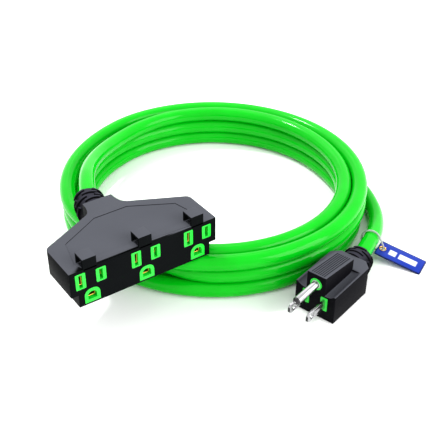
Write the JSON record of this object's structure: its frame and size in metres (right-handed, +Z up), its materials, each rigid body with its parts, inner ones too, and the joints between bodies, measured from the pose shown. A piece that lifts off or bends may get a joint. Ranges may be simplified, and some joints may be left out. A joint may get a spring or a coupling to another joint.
{
  "type": "extension cord",
  "caption": "Coiled heavy-duty extension cord with a grounded plug at one end, a fan-shaped tap with a row of grounded outlets at the other, and a small hang tag on a loop.",
  "frame": {"origin": "on the floor, under the middle of the whole object's box", "axes": "+X along the tap's row of outlets, the outlets face -Y, +Z up from the floor the coil lies on"},
  "size_m": [0.2593, 0.2542, 0.0619],
  "materials": {
    "moulded_black": "satin moulded vinyl",
    "jacket_green": "glossy vinyl jacket",
    "insert_green": "glossy moulded nylon",
    "contact_brass": "bright stamped",
    "nickel_steel": "nickel plated",
    "wire_black": "extruded insulation",
    "wire_white": "extruded insulation",
    "wire_green": "extruded insulation",
    "tag_blue": "printed card",
    "loop_clear": "clear plastic strand"
  },
  "bodies": {
    "root": {"outlet_insert_left": "insert_green", "contact_neutral_left": "contact_brass", "contact_hot_left": "contact_brass", "contact_ground_left": "contact_brass", "outlet_insert_middle": "insert_green", "contact_neutral_middle": "contact_brass", "contact_hot_middle": "contact_brass", "contact_ground_middle": "contact_brass", "outlet_insert_right": "insert_green", "contact_neutral_right": "contact_brass", "contact_hot_right": "contact_brass", "contact_ground_right": "contact_brass", "contact_strip_neutral": "contact_brass", "tap_crimp_neutral": "nickel_steel", "tap_wire_neutral": "wire_white", "plug_crimp_neutral": "nickel_steel", "plug_wire_neutral": "wire_white", "contact_strip_hot": "contact_brass", "tap_crimp_hot": "nickel_steel", "tap_wire_hot": "wire_black", "plug_crimp_hot": "nickel_steel", "plug_wire_hot": "wire_black", "contact_strip_ground": "contact_brass", "tap_crimp_ground": "nickel_steel", "tap_wire_ground": "wire_green", "plug_crimp_ground": "nickel_steel", "plug_wire_ground": "wire_green", "tap_housing": "moulded_black", "tap_strain_relief": "moulded_black", "core_cover": "insert_green", "cord_in_tap": "jacket_green", "cord_to_tap": "jacket_green", "cord_coil": "jacket_green", "cord_to_plug": "jacket_green", "cord_in_plug": "jacket_green", "plug_housing": "moulded_black", "plug_strain_relief": "moulded_black", "plug_core": "insert_green", "blade_neutral": "nickel_steel", "blade_hot": "nickel_steel", "ground_pin": "nickel_steel"},
    "tag_loop": {"tag_loop": "loop_clear"},
    "tag": {"tag_plate": "tag_blue", "tag_eyelet": "nickel_steel"}
  },
  "joints": [
    {"name": "loop_turn", "type": "hinge", "parent": "root", "child": "tag_loop", "pos_m": [0.07376, -0.08715, 0.01069], "axis": [-0.8491, -0.5102, 0.1367], "range_deg": [0, 90]},
    {"name": "tag_swing", "type": "hinge", "parent": "tag_loop", "child": "tag", "pos_m": [0.0776, -0.0949, 0.0056], "axis": [0.3643, -0.3783, 0.851], "range_deg": [-12, 10]}
  ]
}
